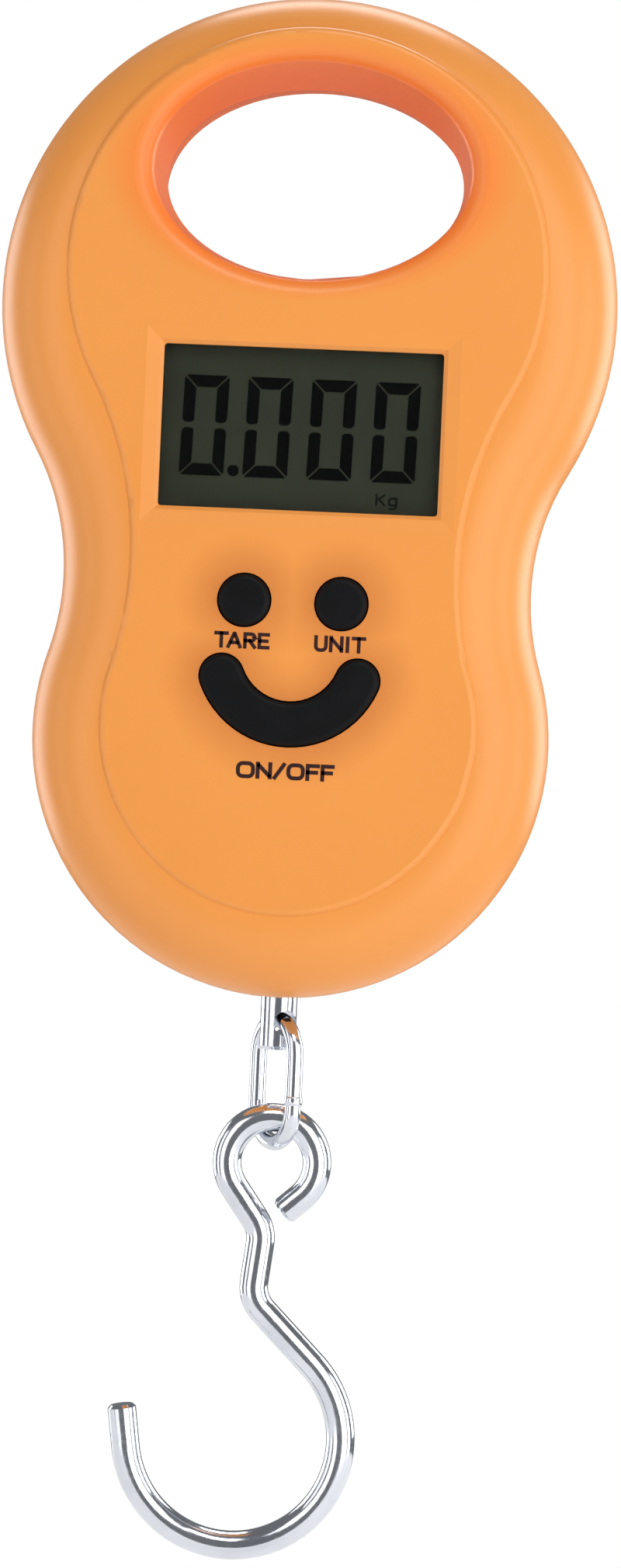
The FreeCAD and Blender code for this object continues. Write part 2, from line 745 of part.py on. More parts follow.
def contact_plate(x0, x1, z, up):
    """Flat spring-steel contact lying on an end wall of the compartment."""
    y0, y1 = cell_y - contact_width / 2, cell_y + contact_width / 2
    return box(x0, x1, y0, y1, min(z, z + up * contact_thick), max(z, z + up * contact_thick))


def pip(x, z, up):
    return rod(cell_nub_radius - 0.2, (x, cell_y, z), (x, cell_y, z + up * contact_pip))


def make_bridge_plate():
    """Lower contact that joins the two cells."""
    reach = cell_spacing / 2 + contact_width / 2
    plate = contact_plate(-reach, reach, case_bottom, 1)
    return plate.fuse(pip(cell_spacing / 2, case_bottom + contact_thick, 1)).removeSplitter()


def make_end_contacts():
    """Upper contacts, one for each cell."""
    parts = []
    for side in (-1, 1):
        x = side * cell_spacing / 2
        half = contact_width / 2 - tab_half
        plate = contact_plate(x - half, x + half, case_top, -1)
        if side < 0:
            plate = plate.fuse(pip(x, case_top - contact_thick, -1)).removeSplitter()
        tab_z = case_top - contact_thick
        tab_y = case_floor + tab_front
        tab = box(x - tab_half, x + tab_half, tab_y, tab_y + contact_thick, tab_z,
                  case_top + case_wall + tab_proud)
        foot = box(x - tab_half, x + tab_half, tab_y, cell_y, tab_z, case_top)
        parts.append(plate.fuse(foot).fuse(tab).removeSplitter())
    return Part.makeCompound(parts)


def tab_slots():
    """Slots in the compartment's top wall for the upper contacts' tabs."""
    slots = []
    for side in (-1, 1):
        x = side * cell_spacing / 2
        half = tab_half + fit_gap
        slots.append(box(x - half, x + half, case_floor + tab_front - fit_gap,
                         case_floor + tab_front + contact_thick + fit_gap, case_top - 1,
                         case_top + case_wall + 1))
    return Part.makeCompound(slots)


def make_springs():
    """Coil springs that press on the cells' flat ends."""
    springs = []
    for x, nub_z, flat_z, up in cell_ends():
        rise = spring_height - spring_wire
        helix = Part.makeHelix(rise / spring_turns, rise, spring_radius)
        ring = Part.Wire([Part.Circle(V(spring_radius, 0, 0), V(0, 1, 0), spring_wire / 2).toShape()])
        coil = Part.Wire(helix).makePipeShell([ring], True, True)
        start = flat_z - spring_height + spring_wire / 2 if up > 0 else flat_z + spring_wire / 2
        coil.translate(V(x, cell_y, start))
        springs.append(coil)
    return Part.makeCompound(springs)


def make_load_cell():
    """Aluminium bar with a dumb-bell hole that thins it above and below."""
    bar = box(-beam_left, beam_right, -beam_depth / 2, beam_depth / 2, beam_bottom, beam_top)
    half = beam_depth
    for x in beam_hole_x:
        bar = bar.cut(rod(beam_hole_radius, (x, -half, beam_z), (x, half, beam_z)))
    bar = bar.cut(box(min(beam_hole_x), max(beam_hole_x), -half, half, beam_z - beam_slot_half,
                      beam_z + beam_slot_half))
    for x, z in beam_screw_places():
        bar = bar.cut(rod(screw_radius + fit_gap, (x, -half, z), (x, half, z)))
    return bar.cut(rod(post_radius + post_running_gap, (0, 0, beam_bottom - 1), (0, 0, beam_top + 1)))


def make_gauges():
    """Strain gauges bonded over the thin sections, above and below."""
    parts = []
    for x in beam_hole_x:
        x0, x1 = x - gauge_half_length, x + gauge_half_length
        for z0, z1 in ((beam_top, beam_top + gauge_thick), (beam_bottom - gauge_thick, beam_bottom)):
            parts.append(box(x0, x1, -gauge_half_width, gauge_half_width, z0, z1))
    return Part.makeCompound(parts)


def make_sealant():
    """Soft white compound over the gauges."""
    reach = gauge_half_length + sealant_beyond_gauge
    x0, x1 = min(beam_hole_x) - reach, max(beam_hole_x) + reach
    pads = []
    for low, high, face in ((beam_top, beam_top + sealant_thick, beam_top + sealant_thick),
                            (beam_bottom - sealant_thick, beam_bottom, beam_bottom - sealant_thick)):
        pad = box(x0, x1, -sealant_half_width, sealant_half_width, low, high)
        rim = [e for e in pad.Edges
               if abs(e.BoundBox.ZMin - face) < 1e-4 and abs(e.BoundBox.ZMax - face) < 1e-4]
        pads.append(pad.makeFillet(sealant_round, rim))
    return Part.makeCompound(pads).cut(make_gauges())


def make_post():
    """Headed steel pin that hangs in the bar and turns in it, with a cross-hole for the link."""
    shaft = rod(post_radius, (0, 0, post_bottom), (0, 0, head_bottom + 0.5))
    rim = [e for e in shaft.Edges if e.BoundBox.ZMax < post_bottom + 0.01]
    shaft = shaft.makeChamfer(post_chamfer, rim)
    head = rod(post_radius + post_head_border, (0, 0, head_bottom), (0, 0, head_bottom + post_head_height))
    top = [e for e in head.Edges if e.BoundBox.ZMin > head_bottom + post_head_height - 0.01]
    post = shaft.fuse(head.makeChamfer(post_chamfer, top)).removeSplitter()
    middle = V(0, 0, cross_hole_z)
    far, near = middle + link_line * 2 * post_radius, middle - link_line * 2 * post_radius
    return post.cut(rod(cross_hole_radius, tuple(near), tuple(far)))


def make_washer():
    ring = rod(post_radius + washer_border, (0, 0, beam_top), (0, 0, beam_top + washer_thick))
    return ring.cut(rod(post_radius + washer_gap, (0, 0, beam_top - 1), (0, 0, beam_top + washer_thick + 1)))


def make_link():
    """Oval chain link: two round ends and two legs, in the plane of link_line and Z."""
    half = link_pitch / 2
    top = link_top_z - half
    bottom = link_bottom_z + half
    edges = [arc_xz(0, top, half, 0, 90, 180),
             Part.LineSegment(V(-half, 0, top), V(-half, 0, bottom)).toShape(),
             arc_xz(0, bottom, half, 180, 270, 360),
             Part.LineSegment(V(half, 0, bottom), V(half, 0, top)).toShape()]
    link = swept(edges, link_wire / 2)
    link.rotate(V(0, 0, 0), V(0, 0, 1), -link_turn)
    return link


def hook_corners():
    """Corner points of the hook's shank: below the eye, and above the bow."""
    leave_x, leave_z = polar(eye_radius, eye_leave_angle, 0, eye_z)
    slope = math.radians(eye_leave_angle + 90)
    fall = math.radians(-shank_turn)
    start_x, start_z = polar(bow_radius, bow_start_angle, -bow_left, bow_z)
    rise = math.radians(bow_start_angle + 90)
    shank = (-shank_left, eye_z - shank_below_eye)
    upper = meet((leave_x, leave_z), slope, shank, fall)
    lower = meet(shank, fall, (start_x, start_z), rise)
    return (leave_x, leave_z), upper, lower, (start_x, start_z)


def meet(p, a, q, b):
    """Point where the line through p at angle a meets the line through q at angle b."""
    cross = math.sin(b - a)
    t = ((q[0] - p[0]) * math.sin(b) - (q[1] - p[1]) * math.cos(b)) / cross
    return p[0] + t * math.cos(a), p[1] + t * math.sin(a)


def make_hook():
    """One bent wire: open eye, cranked shank, round bow and a blunt tip."""
    leave, upper, lower, start = hook_corners()
    end_x, end_z = polar(eye_radius, eye_end_angle, 0, eye_z)
    tail_x, tail_z = polar(eye_end_straight, eye_end_angle - 90, end_x, end_z)
    edges = [Part.LineSegment(V(tail_x, 0, tail_z), V(end_x, 0, end_z)).toShape()]
    middle = (eye_end_angle + eye_leave_angle) / 2
    edges.append(arc_xz(0, eye_z, eye_radius, eye_end_angle, middle, eye_leave_angle))
    corners = [(x, 0, z) for x, z in (leave, upper, lower, start)]
    edges += filleted_path(corners, [bend_radius, bend_radius])
    middle = (bow_start_angle + bow_end_angle) / 2
    edges.append(arc_xz(-bow_left, bow_z, bow_radius, bow_start_angle, middle, bow_end_angle))
    bend_x, bend_z = polar(bow_radius, bow_end_angle, -bow_left, bow_z)
    tip_x, tip_z = polar(tip_straight, bow_end_angle - 90, bend_x, bend_z)
    edges.append(Part.LineSegment(V(bend_x, 0, bend_z), V(tip_x, 0, tip_z)).toShape())
    hook = swept(edges, hook_wire / 2)
    ends = [e for e in hook.Edges if e.Closed and e.Curve.TypeId == "Part::GeomCircle"
            and min((e.Curve.Center - V(tip_x, 0, tip_z)).Length,
                    (e.Curve.Center - V(tail_x, 0, tail_z)).Length) < 0.01]
    return hook.makeChamfer(tip_chamfer, ends)


def pan_screw(x, z, seat, radius, head_radius, head_height, length, way):
    """Screw along Y with its head's underside at seat; way is the direction of its tip."""
    shank = rod(radius, (x, seat - 0.2 * way, z), (x, seat + length * way, z))
    head = rod(head_radius, (x, seat, z), (x, seat - head_height * way, z))
    head = head.makeFillet(0.35 * head_height, edges_at_y(head, seat - head_height * way))
    slot_y = sorted((seat - head_height * way, seat - 0.45 * head_height * way))
    arm = 0.62 * head_radius
    for a, b in ((arm, 0.3), (0.3, arm)):
        head = head.cut(box(x - a, x + a, slot_y[0] - 0.01, slot_y[1] + 0.01, z - b, z + b))
    return head.fuse(shank).removeSplitter()


def make_shell_screws():
    seat = rear_depth - screw_recess
    return Part.makeCompound([pan_screw(x, z, seat, screw_radius, screw_head_radius, screw_head_height,
                                        screw_length, -1) for x, z in shell_screw_places()])


def make_board_screws():
    return Part.makeCompound([pan_screw(x, z, board_back, board_screw_radius, board_screw_head,
                                        board_screw_head_height, board_screw_length, -1)
                              for x, z in board_screw_places()])


def make_beam_screws():
    length = beam_depth + beam_screw_bite
    return Part.makeCompound([pan_screw(x, z, -beam_depth / 2, screw_radius, beam_screw_head,
                                        screw_head_height, length, 1) for x, z in beam_screw_places()])


def make_cell_leads():
    """Four thin leads from the sealed gauges up to the board."""
    leads = []
    for i in range(4):
        x = sum(beam_hole_x) / 2 + bar_lead_pitch * (i - 1.5)
        z = board_bottom + lead_bend
        points = [(x, lead_y, beam_top + sealant_thick), (x, lead_y, z), (x, board_back, z)]
        leads.append(swept(filleted_path(points, [lead_bend]), lead_radius))
    return Part.makeCompound(leads)


def make_battery_leads():
    """Two leads from the upper contacts' tabs to the board's top edge."""
    leads = []
    for side in (-1, 1):
        x = side * cell_spacing / 2
        z = case_top + case_wall + lead_beyond_wall
        leads.append(rod(lead_radius, (x, case_floor + tab_front, z), (x, board_back, z)))
    return Part.makeCompound(leads)


PIECES = {
    "front_shell": make_front_shell,
    "rear_shell": make_rear_shell,
    "battery_door": make_door,
    "display_lens": make_lens,
    "lcd_glass": make_lcd,
    "lcd_reflector": make_reflector,
    "lcd_holder": make_holder,
    "contact_strip": lambda: zebra_box(0),
    "circuit_board": make_board,
    "chip_resin": make_chip_blob,
    "board_components": make_small_parts,
    "tact_switches": make_switches,
    "tare_button": lambda: make_cap("tare"),
    "unit_button": lambda: make_cap("unit"),
    "power_button": lambda: make_cap("power"),
    "tare_plunger": lambda: make_plunger("tare"),
    "unit_plunger": lambda: make_plunger("unit"),
    "power_plunger": lambda: make_plunger("power"),
    "battery_cells": make_cells,
    "battery_wraps": make_wraps,
    "battery_springs": make_springs,
    "bridge_contact": make_bridge_plate,
    "end_contacts": make_end_contacts,
    "battery_leads": make_battery_leads,
    "load_cell": make_load_cell,
    "strain_gauges": make_gauges,
    "gauge_sealant": make_sealant,
    "load_cell_leads": make_cell_leads,
    "load_cell_screws": make_beam_screws,
    "shell_screws": make_shell_screws,
    "board_screws": make_board_screws,
    "post_washer": make_washer,
    "hook_post": make_post,
    "chain_link": make_link,
    "load_hook": make_hook,
}

os.makedirs("parts", exist_ok=True)
for name, make in PIECES.items():
    shape = make()
    solids = shape.Solids
    print(f"{name}: {len(solids)} solid(s), {shape.Volume / 1000:.3f} cm3, valid {shape.isValid()}")
    shape.exportStep(f"parts/{name}.step")
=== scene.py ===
# %% [markdown]
# # Digital fish scale
# A hand-held scale for a catch: two moulded shells with a hand opening, a display and three buttons,
# and a steel post, chain link and hook below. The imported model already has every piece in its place.
# This lesson lights it, gives each piece its finish, and adds what is printed or shown on it: the
# words on the panel, the figures on the display, and the small marks of making.

# %% Load the frame
import math

import bmesh
import bpy
from mathutils import Matrix, Vector, noise


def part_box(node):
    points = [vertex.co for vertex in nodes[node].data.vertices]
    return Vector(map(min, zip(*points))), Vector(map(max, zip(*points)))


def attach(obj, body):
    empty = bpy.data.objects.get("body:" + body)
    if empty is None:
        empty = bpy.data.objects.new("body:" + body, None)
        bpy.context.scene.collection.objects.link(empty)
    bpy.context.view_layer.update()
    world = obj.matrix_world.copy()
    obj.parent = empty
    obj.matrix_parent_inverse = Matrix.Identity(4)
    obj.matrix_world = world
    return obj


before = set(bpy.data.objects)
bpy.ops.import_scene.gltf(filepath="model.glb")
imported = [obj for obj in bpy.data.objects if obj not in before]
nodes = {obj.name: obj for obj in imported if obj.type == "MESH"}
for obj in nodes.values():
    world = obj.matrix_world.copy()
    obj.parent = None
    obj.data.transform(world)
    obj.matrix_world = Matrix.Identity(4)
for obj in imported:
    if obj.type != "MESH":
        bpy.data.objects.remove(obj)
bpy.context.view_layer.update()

MM = 0.001

# %% [markdown]
# ## Camera
# The scale hangs almost upright and is seen nearly straight on, a little from one side. A camera can be
# turned with angles or with a matrix. Here the look, right and up directions are worked out first and
# put in a matrix, because the small roll is then one line that is easy to change.

# %% Camera
aim = Vector((2.5, 0, -80.5)) * MM
distance = 440 * MM
seen_height = 182
side_angle = math.radians(2.0)
roll = math.radians(2.56)
look = Vector((-math.sin(side_angle), math.cos(side_angle), 0))
level = look.cross(Vector((0, 0, 1))).normalized()
upright = level.cross(look)
camera_up = upright * math.cos(roll) - level * math.sin(roll)
camera_right = look.cross(camera_up)
turned = Matrix((camera_right, camera_up, -look)).transposed().to_4x4()
lens_data = bpy.data.cameras.new("camera")
lens_data.sensor_fit = "VERTICAL"
lens_data.sensor_height = 36.0
lens_data.lens = lens_data.sensor_height * distance / (seen_height * MM)
lens_data.clip_start = 0.01
camera = bpy.data.objects.new("camera", lens_data)
camera.matrix_world = Matrix.Translation(aim - look * distance) @ turned
bpy.context.scene.collection.objects.link(camera)
bpy.context.scene.camera = camera
print("camera", round(distance * 1000), "mm away, lens", round(lens_data.lens, 1), "mm")

# %% [markdown]
# ## Studio
# Glossy plastic and plated steel are made by what they reflect, so the lights matter as much as the
# finishes. Two tall soft boxes stand in front, left and right of the camera, the right one brighter.
# Round steel shows each as a white band and the gap between them as a dark line, and the flat display
# faces only the gap, so it stays dark. Other lights reach the sides, the top and the back.
# The air around is white to look at but dim as a light, so that the steel keeps its dark edges.

# %% Surroundings
scene = bpy.context.scene
scene.view_settings.view_transform = "Standard"
world = bpy.data.worlds.new("studio")
scene.world = world
world.use_nodes = True
air = world.node_tree
around = air.nodes["Background"]
around.inputs["Color"].default_value = (0.93, 0.96, 1.0, 1)
around.inputs["Strength"].default_value = 0.20
plain = air.nodes.new("ShaderNodeBackground")
plain.inputs["Color"].default_value = (1, 1, 1, 1)
plain.inputs["Strength"].default_value = 1.0
seen = air.nodes.new("ShaderNodeLightPath")
either = air.nodes.new("ShaderNodeMixShader")
air.links.new(seen.outputs["Is Camera Ray"], either.inputs["Fac"])
air.links.new(around.outputs["Background"], either.inputs[1])
air.links.new(plain.outputs["Background"], either.inputs[2])
air.links.new(either.outputs["Shader"], air.nodes["World Output"].inputs["Surface"])
print("surroundings ready")

# %% Lights
light_target = Vector((0, 0, -0.07))


def soft_light(name, place, size, power):
    light = bpy.data.lights.new(name, "AREA")
    light.shape = "RECTANGLE"
    light.size, light.size_y = size
    light.energy = power
    lamp = bpy.data.objects.new(name, light)
    lamp.location = place
    lamp.rotation_euler = (light_target - Vector(place)).to_track_quat("-Z", "Y").to_euler()
    scene.collection.objects.link(lamp)
    print(name, "light,", power, "W")


soft_light("front_right", (0.40, -0.52, -0.08), (0.46, 0.90), 3.05)
soft_light("front_left", (-0.42, -0.50, -0.08), (0.34, 0.90), 1.40)
soft_light("right_side", (0.66, -0.16, -0.16), (0.26, 0.80), 1.5)
soft_light("left_side", (-0.66, -0.16, -0.14), (0.22, 0.80), 0.8)
soft_light("top_front", (0.10, -0.60, 0.62), (0.50, 0.30), 2.6)
soft_light("back_right", (0.62, 0.42, 0.05), (0.40, 0.60), 2.8)
soft_light("back_left", (-0.62, 0.42, -0.05), (0.40, 0.60), 2.4)
soft_light("back_top", (0.0, 0.48, 0.70), (0.50, 0.30), 2.6)

# %% [markdown]
# ## Finishes
# Every finish here starts from the same few nodes: a colour that drifts a little over the piece, a
# roughness that is uneven in the same way, and a fine bump. Texture images would need files, so the
# unevenness comes from noise in the piece's own coordinates, which stay with it when it moves.

# %% Finish maker
def link(tree, a, b):
    tree.links.new(a, b)


def add(tree, kind, **settings):
    """A node with its sockets or its own settings filled in by name."""
    made = tree.nodes.new(kind)
    for key, value in settings.items():
        name = key.replace("_", " ")
        if name in made.inputs:
            made.inputs[name].default_value = value
        else:
            setattr(made, key, value)
    return made


def cloud(tree, place, grain_mm, detail=3.0):
    """Noise whose lumps are grain_mm across."""
    made = add(tree, "ShaderNodeTexNoise", Scale=1.0 / (grain_mm * MM), Detail=detail, Roughness=0.5)
    link(tree, place, made.inputs["Vector"])
    return made.outputs["Fac"]


def ranged(tree, value, low, high, start=0.3, end=0.7):
    """A noise value turned into a range of another quantity."""
    made = add(tree, "ShaderNodeMapRange")
    for socket, number in zip(("From Min", "From Max", "To Min", "To Max"), (start, end, low, high)):
        made.inputs[socket].default_value = number
    link(tree, value, made.inputs["Value"])
    return made.outputs["Result"]


def blended(tree, factor, first, second):
    """Colour between first and second; each is a colour or another node's output."""
    made = add(tree, "ShaderNodeMix", data_type="RGBA")
    link(tree, factor, made.inputs["Factor"])
    for socket, colour in ((made.inputs[6], first), (made.inputs[7], second)):
        if isinstance(colour, tuple):
            socket.default_value = (*colour, 1)
        else:
            link(tree, colour, socket)
    return made.outputs[2]


def bumped(tree, bsdf, height, depth_mm):
    made = add(tree, "ShaderNodeBump", Strength=1.0, Distance=depth_mm * MM)
    link(tree, height, made.inputs["Height"])
    link(tree, made.outputs["Normal"], bsdf.inputs["Normal"])


def finish(name, colour, other, rough, grain_mm, bump_mm, patch_mm=14.0, **sockets):
    """Material that drifts between two colours and two roughnesses, with a fine bump."""
    made = bpy.data.materials.new(name)
    made.use_nodes = True
    tree = made.node_tree
    bsdf = tree.nodes["Principled BSDF"]
    place = add(tree, "ShaderNodeTexCoord").outputs["Object"]
    patches = cloud(tree, place, patch_mm)
    link(tree, blended(tree, ranged(tree, patches, 0, 1), colour, other), bsdf.inputs["Base Color"])
    fine = cloud(tree, place, grain_mm)
    link(tree, ranged(tree, fine, rough[0], rough[1]), bsdf.inputs["Roughness"])
    bumped(tree, bsdf, fine, bump_mm)
    for key, value in sockets.items():
        bsdf.inputs[key.replace("_", " ")].default_value = value
    return made


def give(material, *names):
    for name in names:
        slots = nodes[name].data.materials
        slots.clear()
        slots.append(material)
    print(material.name, "on", ", ".join(names))

# %% [markdown]
# ## Orange shells
# The body and the battery door are injection-moulded ABS, coloured all through. The mould is polished
# but not a mirror, so highlights are broad and soft. Fine spark texture, slight waves from uneven
# cooling and a few hair scratches break the shine. The waves are much wider than the texture, so they
# take a second noise, and the scratches are stretched noise cut to thin lines.

# %% Shell finish
def shell_finish():
    made = finish("orange_abs", (0.79, 0.297, 0.060), (0.76, 0.278, 0.055), (0.32, 0.42), 0.35, 0.004,
                  patch_mm=30.0)
    tree = made.node_tree
    bsdf = tree.nodes["Principled BSDF"]
    place = add(tree, "ShaderNodeTexCoord").outputs["Object"]
    spark = cloud(tree, place, 0.18, detail=2.0)
    waves = cloud(tree, place, 16.0, detail=1.0)
    stretched = add(tree, "ShaderNodeMapping")
    stretched.inputs["Rotation"].default_value = (0.2, 0.5, 0.7)
    stretched.inputs["Scale"].default_value = (1, 1, 0.04)
    link(tree, place, stretched.inputs["Vector"])
    hairs = ranged(tree, cloud(tree, stretched.outputs["Vector"], 0.9, detail=2.0), 0, 1, 0.70, 0.74)
    spark_bump = add(tree, "ShaderNodeBump", Strength=1.0, Distance=0.0035 * MM)
    wave_bump = add(tree, "ShaderNodeBump", Strength=1.0, Distance=0.10 * MM)
    hair_bump = add(tree, "ShaderNodeBump", Strength=1.0, Distance=0.004 * MM, invert=True)
    link(tree, spark, spark_bump.inputs["Height"])
    link(tree, waves, wave_bump.inputs["Height"])
    link(tree, hairs, hair_bump.inputs["Height"])
    link(tree, wave_bump.outputs["Normal"], spark_bump.inputs["Normal"])
    link(tree, spark_bump.outputs["Normal"], hair_bump.inputs["Normal"])
    link(tree, hair_bump.outputs["Normal"], bsdf.inputs["Normal"])
    bsdf.inputs["Specular IOR Level"].default_value = 0.36
    bsdf.inputs["Coat Weight"].default_value = 0.10
    bsdf.inputs["Coat Roughness"].default_value = 0.24
    return made


orange_abs = shell_finish()
give(orange_abs, "front_shell", "rear_shell", "battery_door")

# %% [markdown]
# ## Painted shade by the opening and the buttons
# Two places on the shell get painted shade, a deeper orange in the colour. On the walls of the hand
# opening, light bounces from orange to orange, and a painted tint adds to that shade. Round the buttons
# the shell is painted darker, as shade. Round the buttons the shell looks darker, perhaps because black
# flanges lie behind its thin wall. Paint masks would need an image, so each place is found by its
# distance from the oval of the opening or from the middle line of the caps, measured flat, and the two
# are mixed into the colour.

# %% Distances on the panel
def calculated(tree, operation, first, second=0.0):
    """One sum of two values, each a number or another node's output."""
    made = add(tree, "ShaderNodeMath", operation=operation)
    for socket, value in zip(made.inputs, (first, second)):
        if isinstance(value, float):
            socket.default_value = value
        else:
            link(tree, value, socket)
    return made.outputs["Value"]


def flat_distance(tree, place, x, z, wide=1.0, tall=1.0):
    """Distance from (x, z) across the front, in mm, or in shares of an oval wide by tall mm."""
    moved = add(tree, "ShaderNodeVectorMath", operation="SUBTRACT")
    moved.inputs[1].default_value = (x, 0, z)
    link(tree, place, moved.inputs[0])
    scaled = add(tree, "ShaderNodeVectorMath", operation="MULTIPLY")
    scaled.inputs[1].default_value = (1 / (wide * MM), 0, 1 / (tall * MM))
    link(tree, moved.outputs["Vector"], scaled.inputs[0])
    length = add(tree, "ShaderNodeVectorMath", operation="LENGTH")
    link(tree, scaled.outputs["Vector"], length.inputs[0])
    return length.outputs["Value"]


front_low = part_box("front_shell")[0]
front_skin = 2.5 * MM
opening_wide = 17.2
opening_tall = 11.0
tare_low, tare_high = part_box("tare_button")
unit_low, unit_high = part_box("unit_button")
power_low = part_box("power_button")[0]
tare_middle = (tare_low + tare_high) / 2
unit_middle = (unit_low + unit_high) / 2
cap_radius = 2.95
smile_radius = 8.3
smile_half_width = 2.5
smile_half_angle = math.radians(68)
flange = 0.8
smile_middle_z = power_low.z + (smile_radius + smile_half_width + flange) * MM
smile_end_x = smile_radius * math.sin(smile_half_angle) * MM
ends_lean = math.cos(smile_half_angle)
smile_end_z = smile_middle_z - smile_radius * ends_lean * MM
print("caps at", [round(1000 * v, 1) for v in (tare_middle.x, unit_middle.x, smile_middle_z)], "mm")

# %% Painted shade places
# Painted shade on the opening's walls: a deeper, redder orange in the base colour.
painted_wall_shade = (0.83, 0.212, 0.036)
wall_shade_full = 1.10
wall_shade_gone = 1.38
# Painted shade round the caps and the smile: a darker orange in the base colour, fading over a few mm.
shade_orange = (0.60, 0.190, 0.040)
shade_full_mm = -0.5
shade_gone_mm = 5.4
shade_strength = 0.85
off_the_arc_mm = 100.0
mm_per_metre = 1000.0


# Paints shade into the shell's base colour, on the opening's walls and round the caps.
def paint_shade(made):
    tree = made.node_tree
    bsdf = tree.nodes["Principled BSDF"]
    plain_orange = bsdf.inputs["Base Color"].links[0].from_socket
    place = add(tree, "ShaderNodeTexCoord").outputs["Object"]
    oval = flat_distance(tree, place, 0.0, -opening_tall * MM, opening_wide, opening_tall)
    wall_shade_mask = ranged(tree, oval, 1, 0, wall_shade_full, wall_shade_gone)
    from_tare = flat_distance(tree, place, tare_middle.x, tare_middle.z)
    from_unit = flat_distance(tree, place, unit_middle.x, unit_middle.z)
    tare = calculated(tree, "SUBTRACT", from_tare, cap_radius)
    unit = calculated(tree, "SUBTRACT", from_unit, cap_radius)
    from_middle = flat_distance(tree, place, 0.0, smile_middle_z)
    off_arc = calculated(tree, "SUBTRACT", from_middle, smile_radius)
    height = add(tree, "ShaderNodeSeparateXYZ")
    link(tree, place, height.inputs["Vector"])
    drop = calculated(tree, "SUBTRACT", smile_middle_z, height.outputs["Z"])
    below = calculated(tree, "MULTIPLY", drop, mm_per_metre)
    past_ends = calculated(tree, "LESS_THAN", below, calculated(tree, "MULTIPLY", from_middle, ends_lean))
    along_arc = calculated(tree, "ADD", calculated(tree, "ABSOLUTE", off_arc),
                           calculated(tree, "MULTIPLY", past_ends, off_the_arc_mm))
    ends = calculated(tree, "MINIMUM", flat_distance(tree, place, -smile_end_x, smile_end_z),
                      flat_distance(tree, place, smile_end_x, smile_end_z))
    smile = calculated(tree, "SUBTRACT", calculated(tree, "MINIMUM", along_arc, ends), smile_half_width)
    nearest = calculated(tree, "MINIMUM", calculated(tree, "MINIMUM", tare, unit), smile)
    # Painted shade: full at the caps' edges, gone a few mm away.
    shade_near_caps = add(tree, "ShaderNodeMapRange", interpolation_type="SMOOTHSTEP")
    shade_near_caps.inputs["From Min"].default_value = shade_full_mm
    shade_near_caps.inputs["From Max"].default_value = shade_gone_mm
    shade_near_caps.inputs["To Min"].default_value = shade_strength
    shade_near_caps.inputs["To Max"].default_value = 0.0
    link(tree, nearest, shade_near_caps.inputs["Value"])
    uneven = ranged(tree, cloud(tree, place, 5.0), 0.75, 1.0)
    on_front = calculated(tree, "LESS_THAN", height.outputs["Y"], front_low.y + front_skin)
    patchy = calculated(tree, "MULTIPLY", shade_near_caps.outputs["Result"], uneven)
    # The painted shade round the caps is kept to the front shell.
    shade = calculated(tree, "MULTIPLY", patchy, on_front)
    # The painted shade of the walls and round the caps goes into the base colour.
    walls = blended(tree, wall_shade_mask, plain_orange, painted_wall_shade)
    link(tree, blended(tree, shade, walls, shade_orange), bsdf.inputs["Base Color"])


paint_shade(orange_abs)
print("deeper orange by the opening and the caps")

# %% [markdown]
# ## Buttons
# The three caps are black moulded plastic with a matt face. A matt black is never pure black: dust and
# the fine texture scatter a little light, so the colour is a very dark blue-grey, and rough enough that
# the caps show no clear reflection.

# %% Button finish
button_black = finish("button_black", (0.0040, 0.0042, 0.0046), (0.0058, 0.0060, 0.0066), (0.42, 0.54), 0.22,
                      0.006, patch_mm=4.0, Specular_IOR_Level=0.10)
give(button_black, "tare_button", "unit_button", "power_button")

# %% [markdown]
# ## Display
# A liquid-crystal display is two glasses with a polariser, which looks dark olive from the front. Over
# it lies the clear acrylic lens of the window. Light passes twice through the lens, so it transmits and
# bends light, and isn't a see-through colour. Real acrylic has an index of about 1.49. A lower one is
# set here, so that the lens mirrors less and the figures stay easy to read. The polariser has a very
# faint grain.

# %% Lens and polariser
lens_clear = finish("clear_acrylic", (0.97, 0.98, 0.97), (0.95, 0.97, 0.95), (0.02, 0.05), 1.2, 0.0004,
                    Transmission_Weight=1.0, IOR=1.22)
give(lens_clear, "display_lens")
olive = finish("polariser_olive", (0.037, 0.040, 0.023), (0.031, 0.034, 0.021), (0.42, 0.55), 0.12, 0.002,
               patch_mm=9.0, Specular_IOR_Level=0.15)
give(olive, "lcd_glass")
reflector_grey = finish("reflector_grey", (0.42, 0.43, 0.40), (0.36, 0.37, 0.35), (0.35, 0.5), 0.10, 0.004)
give(reflector_grey, "lcd_reflector")

# %% [markdown]
# ## Figures on the display
# Each figure has seven strokes, and a nought shows six of them. The strokes meet at mitred corners with
# a hair of space between, and the upright ones have a blunt, bevelled end at the middle. They could be
# text in a font, but these gaps are easier to set one by one, so each stroke is a small polygon made from
# its corner points.

# %% Flat plates from outlines
lens_low, lens_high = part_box("display_lens")
glass_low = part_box("lcd_glass")[0]
lens_border = 1.25 * MM
window_low_z = lens_low.z + lens_border
window_half = (lens_high.x - lens_low.x) / 2 - lens_border
print("window", round(window_half * 2000, 1), "mm wide")


